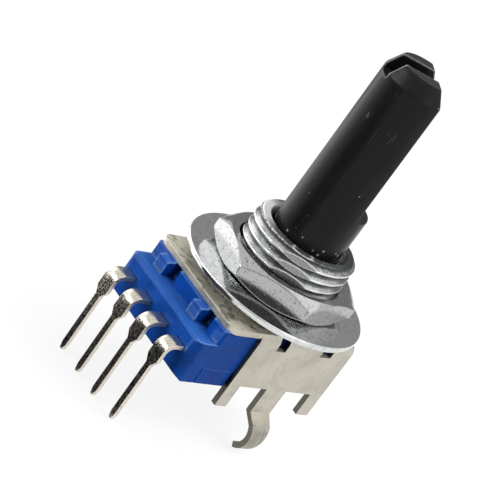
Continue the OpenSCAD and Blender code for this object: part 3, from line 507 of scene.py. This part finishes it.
    # the material reads where the thread's roots, flats and painted crest highlights are
    marked = grid
    for name, value in (("root", root), ("flat", on_flat), ("painted_crest_highlight", painted_crest_highlight)):
        marked = add(tree, "GeometryNodeStoreNamedAttribute",
                     {"Geometry": marked, "Name": name, "Value": value},
                     data_type="FLOAT", domain="POINT").outputs[0]
    body = add(tree, "GeometryNodeSetPosition", {"Geometry": marked, "Position": swept}).outputs[0]
    body = add(tree, "GeometryNodeMergeByDistance", {"Geometry": body, "Distance": 0.001 * MM}).outputs[0]
    body = add(tree, "GeometryNodeSetShadeSmooth", {"Geometry": body}).outputs[0]
    body = add(tree, "GeometryNodeRealizeInstances", {"Geometry": body}).outputs[0]
    body = add(tree, "GeometryNodeSetMaterial", {"Geometry": body, "Material": size["Finish"]}).outputs[0]
    add(tree, "NodeGroupOutput", {"Geometry": body})
    return tree


def cast_zinc():
    """Dull nickel on die-cast zinc: grey satin with fine pits, which are drawn 0.2 mm wide to show. The roots
    of the thread are darkened as painted shade, its ridges are painted almost white as a painted highlight,
    and the flats are painted a darker grey as painted shade."""
    material, tree, shader, mm = surface("nickel_plated_zinc_casting", Metallic=1.0)
    root = add(tree, "ShaderNodeAttribute", attribute_name="root", attribute_type="GEOMETRY").outputs["Fac"]
    pits = add(tree, "ShaderNodeTexNoise", {"Vector": mm, "Scale": 1 / 0.2, "Detail": 4.0,
                                            "Roughness": 0.65}).outputs[0]
    bright = add(tree, "ShaderNodeMapRange", {"Value": pits, "From Min": 0.3, "From Max": 0.6}).outputs[0]
    metal = add(tree, "ShaderNodeMix", {"Factor": bright, "A": linear("#8C8E8D"), "B": linear("#B4B6B5")},
                data_type="RGBA").outputs["Result"]
    # the mouth is as cast: duller than the thread and speckled
    level = add(tree, "ShaderNodeSeparateXYZ", {0: mm}).outputs["Z"]
    mouth = add(tree, "ShaderNodeMapRange", {"Value": level, "From Min": 5.35, "From Max": 5.6}).outputs[0]
    dark = add(tree, "ShaderNodeMapRange", {"Value": pits, "From Min": 0.55, "From Max": 0.42,
                                            "To Max": 0.8}).outputs[0]
    dark = add(tree, "ShaderNodeMath", {0: dark, 1: mouth}, operation="MULTIPLY").outputs[0]
    metal = add(tree, "ShaderNodeMix", {"Factor": dark, "A": metal, "B": linear("#5B5D5C")},
                data_type="RGBA").outputs["Result"]
    # the flats are painted a darker grey as painted shade
    flat = add(tree, "ShaderNodeAttribute", attribute_name="flat", attribute_type="GEOMETRY").outputs["Fac"]
    shade = add(tree, "ShaderNodeMath", {0: flat, 1: 0.55}, operation="MULTIPLY").outputs[0]
    metal = add(tree, "ShaderNodeMix", {"Factor": shade, "A": metal, "B": linear("#6E7170")},
                data_type="RGBA").outputs["Result"]
    # the roots are darkened as painted shade, and made rougher
    painted_root_shade = add(tree, "ShaderNodeMapRange", {"Value": root, "From Min": 0.55, "From Max": 0.95,
                                             "To Max": 0.85}).outputs[0]
    tone = add(tree, "ShaderNodeMix", {"Factor": painted_root_shade, "A": metal, "B": linear("#464948")},
               data_type="RGBA").outputs["Result"]
    # the crests and the lips of the flats are painted near white as a painted highlight
    painted_crest_highlight = add(tree, "ShaderNodeAttribute", attribute_name="painted_crest_highlight", attribute_type="GEOMETRY").outputs["Fac"]
    tone = add(tree, "ShaderNodeMix", {"Factor": painted_crest_highlight, "A": tone, "B": linear("#F0F1F0")},
               data_type="RGBA").outputs["Result"]
    tree.links.new(tone, shader.inputs["Base Color"])
    rough = add(tree, "ShaderNodeMapRange", {"Value": pits, "To Min": 0.26, "To Max": 0.14}).outputs[0]
    rough = add(tree, "ShaderNodeMath", {0: painted_root_shade, 1: 0.15, 2: rough}, operation="MULTIPLY_ADD").outputs[0]
    rough = add(tree, "ShaderNodeMath", {0: painted_crest_highlight, 1: 0.16, 2: rough}, operation="MULTIPLY_ADD").outputs[0]
    rough = add(tree, "ShaderNodeMath", {0: mouth, 1: 0.3, 2: rough}, operation="MULTIPLY_ADD").outputs[0]
    tree.links.new(rough, shader.inputs["Roughness"])
    edge = add(tree, "ShaderNodeBevel", {"Radius": 0.015 * MM}, samples=6).outputs[0]
    bump = add(tree, "ShaderNodeBump", {"Height": pits, "Strength": 0.18, "Distance": 0.015 * MM,
                                        "Normal": edge}).outputs[0]
    tree.links.new(bump, shader.inputs["Normal"])
    return material


outline = bpy.data.meshes.new("bushing_section")
corners = [(x * MM, 0, z * MM) for x, z in bushing_outline(BUSHING_SECTION)]
outline.from_pydata(corners, [(i, (i + 1) % len(corners)) for i in range(len(corners))], [])
bushing = bpy.data.objects.new("bushing_casting", outline)
bpy.context.collection.objects.link(bushing)
turned = bushing.modifiers.new("turned thread", "NODES")
turned.node_group = turned_thread_tree()
# the last two numbers are the grid's points round the axis and along the section
THREAD = {"Crest radius": BUSHING_SECTION["thread"] * MM, "Flat distance": 4.17 * MM,
          "Flat turn": math.radians(-44), "Pitch": 0.82 * MM, "Depth": 0.38 * MM, "Crest height": 4.56 * MM,
          "Thread from": 0.85 * MM, "Steps round": 217, "Steps along": 421, "Finish": cast_zinc()}
for socket in turned.node_group.interface.items_tree:
    if socket.in_out == "INPUT" and socket.name in THREAD:
        turned[socket.identifier] = THREAD[socket.name]
make_plain(bushing)
bm = bmesh.new()
bm.from_mesh(bushing.data)
bmesh.ops.recalc_face_normals(bm, faces=bm.faces)
bm.to_mesh(bushing.data)
bm.free()
# the crests and the ends of the flats are crisp, and bend less than other edges do
CREST_DEG = 14
bushing.data.set_sharp_from_angle(angle=math.radians(CREST_DEG))
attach(bushing, "body")
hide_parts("bushing")


# ---- Washer ----
# Punched from steel strip and barrel-plated with bright nickel, so it is nearly a mirror with soft waves
# and dull spots from the tumbling. It lies on the bushing's shoulder.
def bright_nickel():
    """Bright nickel: a clear reflection over slow waves 3 mm long, with a fine ripple and dull spots."""
    material, tree, shader, mm = surface("bright_nickel_on_punched_steel", Metallic=1.0)
    wave = add(tree, "ShaderNodeTexNoise", {"Vector": mm, "Scale": 1 / 3.2, "Detail": 2.0}).outputs[0]
    spots = add(tree, "ShaderNodeTexNoise", {"Vector": mm, "Scale": 1 / 0.5, "Detail": 5.0,
                                             "Roughness": 0.7}).outputs[0]
    dull = add(tree, "ShaderNodeMapRange", {"Value": spots, "From Min": 0.5, "From Max": 0.72}).outputs[0]
    tone = add(tree, "ShaderNodeMix", {"Factor": dull, "A": linear("#D8DAD9"), "B": linear("#B0B3B3")},
               data_type="RGBA").outputs["Result"]
    tree.links.new(tone, shader.inputs["Base Color"])
    rough = add(tree, "ShaderNodeMapRange", {"Value": dull, "To Min": 0.07, "To Max": 0.2}).outputs[0]
    tree.links.new(rough, shader.inputs["Roughness"])
    height = add(tree, "ShaderNodeMath", {0: wave, 1: 8.0, 2: spots}, operation="MULTIPLY_ADD").outputs[0]
    bump = add(tree, "ShaderNodeBump", {"Height": height, "Strength": 0.4, "Distance": 0.02 * MM}).outputs[0]
    tree.links.new(bump, shader.inputs["Normal"])
    return material


rounded_piece("washer_disc", "washer", bright_nickel(), edge_mm=0.11)


# ---- Nut ----
# A turned hexagon nut with corner chamfers on both ends, nickel-plated and screwed down on the washer.
# The milled faces are finely speckled, and the turned ends show faint rings.
def turned_nickel():
    """Nickel on turned steel: pale satin faces with dark pin-points, drawn 0.2 mm wide to show, and rings
    on the turned ends."""
    material, tree, shader, mm = surface("nickel_plated_turned_steel", Metallic=1.0)
    speck = add(tree, "ShaderNodeTexNoise", {"Vector": mm, "Scale": 1 / 0.22, "Detail": 5.0,
                                             "Roughness": 0.7}).outputs[0]
    clean = add(tree, "ShaderNodeMapRange", {"Value": speck, "From Min": 0.32, "From Max": 0.46}).outputs[0]
    tone = add(tree, "ShaderNodeMix", {"Factor": clean, "A": linear("#6A6C6D"), "B": linear("#B1B1B1")},
               data_type="RGBA").outputs["Result"]
    tree.links.new(tone, shader.inputs["Base Color"])
    rough = add(tree, "ShaderNodeMapRange", {"Value": clean, "To Min": 0.4, "To Max": 0.12}).outputs[0]
    tree.links.new(rough, shader.inputs["Roughness"])
    # rings 0.12 mm apart, which show only on faces that look along the axis
    rings = add(tree, "ShaderNodeTexWave", {"Vector": mm, "Scale": 1 / (0.12 * math.tau), "Distortion": 0.6},
                wave_type="RINGS", rings_direction="Z").outputs["Fac"]
    height = add(tree, "ShaderNodeMath", {0: rings, 1: 0.25, 2: speck}, operation="MULTIPLY_ADD").outputs[0]
    bump = add(tree, "ShaderNodeBump", {"Height": height, "Strength": 0.3, "Distance": 0.02 * MM}).outputs[0]
    tree.links.new(bump, shader.inputs["Normal"])
    return material


rounded_piece("nut_hexagon", "hex_nut", turned_nickel(), edge_mm=0.09)


# ---- Shaft ----
# Moulded in black glass-filled polyamide, round at its foot, flat on one side above, with a slotted and
# tapered tip. Its skin is satin and has picked up dust and a few hair-fine scratches in handling. A square
# below, hidden in the bushing, drives the rotor.
def black_polyamide():
    """Satin black plastic: near-black and softly streaked along the mould, with pale dust, fine scratches,
    a painted highlight on the edges of the tip and droplets of grease at the foot."""
    material, tree, shader, mm = surface("moulded_polyamide_black", IOR=1.53, Specular_IOR_Level=0.15)
    streak = add(tree, "ShaderNodeMapping", {"Vector": mm, "Scale": (1.6, 1.6, 0.18)}).outputs[0]
    streak = add(tree, "ShaderNodeTexNoise", {"Vector": streak, "Scale": 1.0, "Detail": 4.0}).outputs[0]
    black = add(tree, "ShaderNodeMix", {"Factor": streak, "A": linear("#121213"), "B": linear("#1B1B1D")},
                data_type="RGBA").outputs["Result"]
    # dust: one grain of about 0.1 mm in each cell of 1.4 mm, and only in some cells
    cells = add(tree, "ShaderNodeTexVoronoi", {"Vector": mm, "Scale": 1 / 1.4}, feature="F1")
    grain = add(tree, "ShaderNodeMapRange", {"Value": cells.outputs["Distance"], "From Min": 0.07,
                                             "From Max": 0.03}).outputs[0]
    chance = add(tree, "ShaderNodeSeparateColor", {0: cells.outputs["Color"]}).outputs[0]
    chance = add(tree, "ShaderNodeMath", {0: chance, 1: 0.62}, operation="GREATER_THAN").outputs[0]
    pale_marks = add(tree, "ShaderNodeMath", {0: grain, 1: chance}, operation="MULTIPLY").outputs[0]
    # scratches: thin lines where a stretched and tilted noise crosses its middle
    tilt = add(tree, "ShaderNodeMapping", {"Vector": mm, "Rotation": (0.5, 0.35, 0.0),
                                           "Scale": (1.3, 1.3, 0.12)}).outputs[0]
    hair = add(tree, "ShaderNodeTexNoise", {"Vector": tilt, "Scale": 1.0, "Detail": 1.0}).outputs[0]
    hair = add(tree, "ShaderNodeMath", {0: hair, 1: 0.5}, operation="SUBTRACT").outputs[0]
    hair = add(tree, "ShaderNodeMath", {0: hair}, operation="ABSOLUTE").outputs[0]
    hair = add(tree, "ShaderNodeMapRange", {"Value": hair, "From Min": 0.004, "From Max": 0.001}).outputs[0]
    here = add(tree, "ShaderNodeTexNoise", {"Vector": mm, "Scale": 1 / 2.2, "Detail": 1.0}).outputs[0]
    here = add(tree, "ShaderNodeMapRange", {"Value": here, "From Min": 0.56, "From Max": 0.62}).outputs[0]
    hair = add(tree, "ShaderNodeMath", {0: hair, 1: here}, operation="MULTIPLY").outputs[0]
    hair = add(tree, "ShaderNodeMath", {0: hair, 1: 0.35}, operation="MULTIPLY").outputs[0]
    pale = add(tree, "ShaderNodeMath", {0: pale_marks, 1: hair}, operation="MAXIMUM").outputs[0]
    # the edges of the tip are painted pale as a painted highlight
    inside = add(tree, "ShaderNodeAmbientOcclusion", {"Distance": 0.2 * MM}, samples=8, inside=True,
                 only_local=True).outputs["AO"]
    painted_light = add(tree, "ShaderNodeMapRange", {"Value": inside, "From Min": 0.86, "From Max": 0.7}).outputs[0]
    level = add(tree, "ShaderNodeSeparateXYZ", {0: mm}).outputs["Z"]
    tip = add(tree, "ShaderNodeMapRange", {"Value": level, "From Min": 19.6, "From Max": 20.6}).outputs[0]
    painted_light = add(tree, "ShaderNodeMath", {0: painted_light, 1: tip}, operation="MULTIPLY").outputs[0]
    pale = add(tree, "ShaderNodeMath", {0: pale, 1: painted_light}, operation="MAXIMUM").outputs[0]
    # droplets of the bearing's grease, which thin out up to 2.5 mm above the bushing
    drops = add(tree, "ShaderNodeTexVoronoi", {"Vector": mm, "Scale": 1 / 0.42}, feature="F1")
    drop = add(tree, "ShaderNodeMapRange", {"Value": drops.outputs["Distance"], "From Min": 0.3,
                                            "From Max": 0.18}).outputs[0]
    foot = add(tree, "ShaderNodeMapRange", {"Value": level, "From Min": 8.4, "From Max": 6.0}).outputs[0]
    chance = add(tree, "ShaderNodeSeparateColor", {0: drops.outputs["Color"]}).outputs[0]
    chance = add(tree, "ShaderNodeMath", {0: chance, 1: 0.55, 2: foot}, operation="MULTIPLY_ADD").outputs[0]
    chance = add(tree, "ShaderNodeMath", {0: chance, 1: 1.12}, operation="GREATER_THAN").outputs[0]
    drop = add(tree, "ShaderNodeMath", {0: drop, 1: chance}, operation="MULTIPLY").outputs[0]
    pale = add(tree, "ShaderNodeMath", {0: pale, 1: drop}, operation="MAXIMUM").outputs[0]
    tone = add(tree, "ShaderNodeMix", {"Factor": pale, "A": black, "B": linear("#A4A6A8")},
               data_type="RGBA").outputs["Result"]
    tree.links.new(tone, shader.inputs["Base Color"])
    rough = add(tree, "ShaderNodeMapRange", {"Value": streak, "To Min": 0.24, "To Max": 0.4}).outputs[0]
    tree.links.new(rough, shader.inputs["Roughness"])
    skin = add(tree, "ShaderNodeTexNoise", {"Vector": mm, "Scale": 1 / 0.12, "Detail": 3.0}).outputs[0]
    height = add(tree, "ShaderNodeMath", {0: streak, 1: 2.0, 2: skin}, operation="MULTIPLY_ADD").outputs[0]
    bump = add(tree, "ShaderNodeBump", {"Height": height, "Strength": 0.4, "Distance": 0.012 * MM}).outputs[0]
    tree.links.new(bump, shader.inputs["Normal"])
    return material


rounded_piece("shaft_moulding", "shaft", black_polyamide(), edge_mm=0.08,
              body="turning_shaft")


# ---- Studio ----
# A white floor just under the pins and a white surround, lit by three soft lamps. Grey flags and glowing
# white sheets, which only mirrored rays see, give the metal something dark and bright to mirror.
def soft_lamp(name, place_mm, width_mm, watts):
    """A square soft lamp that points at the part."""
    lamp = bpy.data.lights.new(name, "AREA")
    lamp.shape = "SQUARE"
    lamp.size = width_mm * MM
    lamp.energy = watts
    obj = bpy.data.objects.new(name, lamp)
    place = Vector(place_mm) * MM
    obj.matrix_world = Matrix.Translation(place) @ (-place).to_track_quat("-Z", "Y").to_matrix().to_4x4()
    bpy.context.collection.objects.link(obj)
    return obj


def flat_card(name, corners_mm, material):
    """A flat sheet of the studio, which isn't part of the object."""
    mesh = bpy.data.meshes.new(name)
    mesh.from_pydata([Vector(c) * MM for c in corners_mm], [], [range(len(corners_mm))])
    mesh.materials.append(material)
    card = bpy.data.objects.new(name, mesh)
    bpy.context.collection.objects.link(card)
    return card


def bare_tree(owner):
    """The emptied node tree of a material or a world."""
    owner.use_nodes = True
    owner.node_tree.nodes.clear()
    return owner.node_tree


def seen_or_lit(tree, seen, lit, target):
    """Shows `seen` to the camera and to mirrored or refracted rays, and `lit` to the light on the object."""
    ray = add(tree, "ShaderNodeLightPath").outputs
    looked_at = add(tree, "ShaderNodeMath", {0: ray["Is Camera Ray"], 1: ray["Is Glossy Ray"]},
                    operation="MAXIMUM").outputs[0]
    looked_at = add(tree, "ShaderNodeMath", {0: looked_at, 1: ray["Is Transmission Ray"]},
                    operation="MAXIMUM").outputs[0]
    tree.links.new(add(tree, "ShaderNodeMixShader", {0: looked_at, 1: lit, 2: seen}).outputs[0], target)


WHITE = (1, 1, 1, 1)
world = bpy.data.worlds.new("white_surround")
bpy.context.scene.world = world
tree = bare_tree(world)
dim = add(tree, "ShaderNodeBackground", {"Color": WHITE, "Strength": 0.32}).outputs[0]
white = add(tree, "ShaderNodeBackground", {"Color": WHITE, "Strength": 1.0}).outputs[0]
seen_or_lit(tree, white, dim, add(tree, "ShaderNodeOutputWorld").inputs[0])

# white paper that glows, so that only a faint shadow shows; to the light on the object it is plain grey
FLOOR_Z, REACH = -11.05, 900
floor_paint = bpy.data.materials.new("white_paper")
tree = bare_tree(floor_paint)
paper = add(tree, "ShaderNodeBsdfDiffuse", {"Color": linear("#F7F7F7")}).outputs[0]
grey = add(tree, "ShaderNodeBsdfDiffuse", {"Color": linear("#9C9C9C")}).outputs[0]
glow = add(tree, "ShaderNodeEmission", {"Color": WHITE, "Strength": 1.04}).outputs[0]
glowing_paper = add(tree, "ShaderNodeMixShader", {0: 0.82, 1: paper, 2: glow}).outputs[0]
seen_or_lit(tree, glowing_paper, grey, add(tree, "ShaderNodeOutputMaterial").inputs[0])
flat_card("floor", [(-REACH, -REACH, FLOOR_Z), (REACH, -REACH, FLOOR_Z),
                    (REACH, REACH, FLOOR_Z), (-REACH, REACH, FLOOR_Z)], floor_paint)

# how bright each flag or sheet is, where 1 is white, and its corners; some lie low, just over the floor
LOW = FLOOR_Z + 0.05
FLAGS = {"floor_flag": (0.06, [(4.5, -12, LOW), (-8, -12, LOW), (-30, -40, LOW), (-60, -110, LOW),
                               (30, -110, LOW), (10, -40, LOW)]),
         "front_flag": (0.06, [(-90, -110, LOW), (-90, -110, 30), (10, -110, 30), (10, -110, LOW)]),
         "left_glow": (2.2, [(-70, -22, LOW), (-14, -22, LOW), (-14, 8, LOW), (-70, 8, LOW)]),
         "left_window": (2.2, [(-70, -50, LOW), (-70, 10, LOW), (-70, 10, 60), (-70, -50, 60)]),
         "rear_flag": (0.32, [(-42, 12, 2), (-42, 12, 40), (14, 56, 40), (14, 56, 2)]),
         "overhead_glow": (1.5, [(-30, 20, 230), (-30, 200, 230), (160, 200, 230), (160, 20, 230)]),
         "camera_flag": (0.08, [(82, -52, 65), (93, -67, 20), (43, -106, 20), (32, -92, 65)])}
for name, (strength, corners) in FLAGS.items():
    cloth = bpy.data.materials.new(name + "_cloth")
    tree = bare_tree(cloth)
    shine = add(tree, "ShaderNodeEmission", {"Color": WHITE, "Strength": strength}).outputs[0]
    add(tree, "ShaderNodeOutputMaterial", {0: shine})
    flag = flat_card(name, corners, cloth)
    flag.visible_camera = False
    flag.visible_diffuse = False
    flag.visible_shadow = False

overhead = soft_lamp("overhead", (66, 124, 225), 250, 0.72)
# metal mirrors the even overhead sheet instead of this lamp, which would clip to white
overhead.visible_glossy = False
soft_lamp("front_fill", (-120, -220, 90), 160, 0.36)
soft_lamp("right_fill", (260, 20, 80), 160, 0.07)

# the camera looks along the photograph's line of sight, with the picture turned as there
EYE = Vector((108.087, -140.496, 76.233)) * MM
RIGHT = Vector((0.4928, 0.68192, 0.54048))
DOWN = Vector((0.6535, 0.12007, -0.74734))
forward = RIGHT.cross(DOWN)
lens = bpy.data.cameras.new("camera")
lens.lens = 180
lens.sensor_width = 36
lens.clip_start = 0.001
camera = bpy.data.objects.new("camera", lens)
camera.matrix_world = Matrix.Translation(EYE) @ Matrix((RIGHT, -DOWN, -forward)).transposed().to_4x4()
bpy.context.collection.objects.link(camera)
bpy.context.scene.camera = camera
bpy.context.scene.view_settings.view_transform = "Standard"
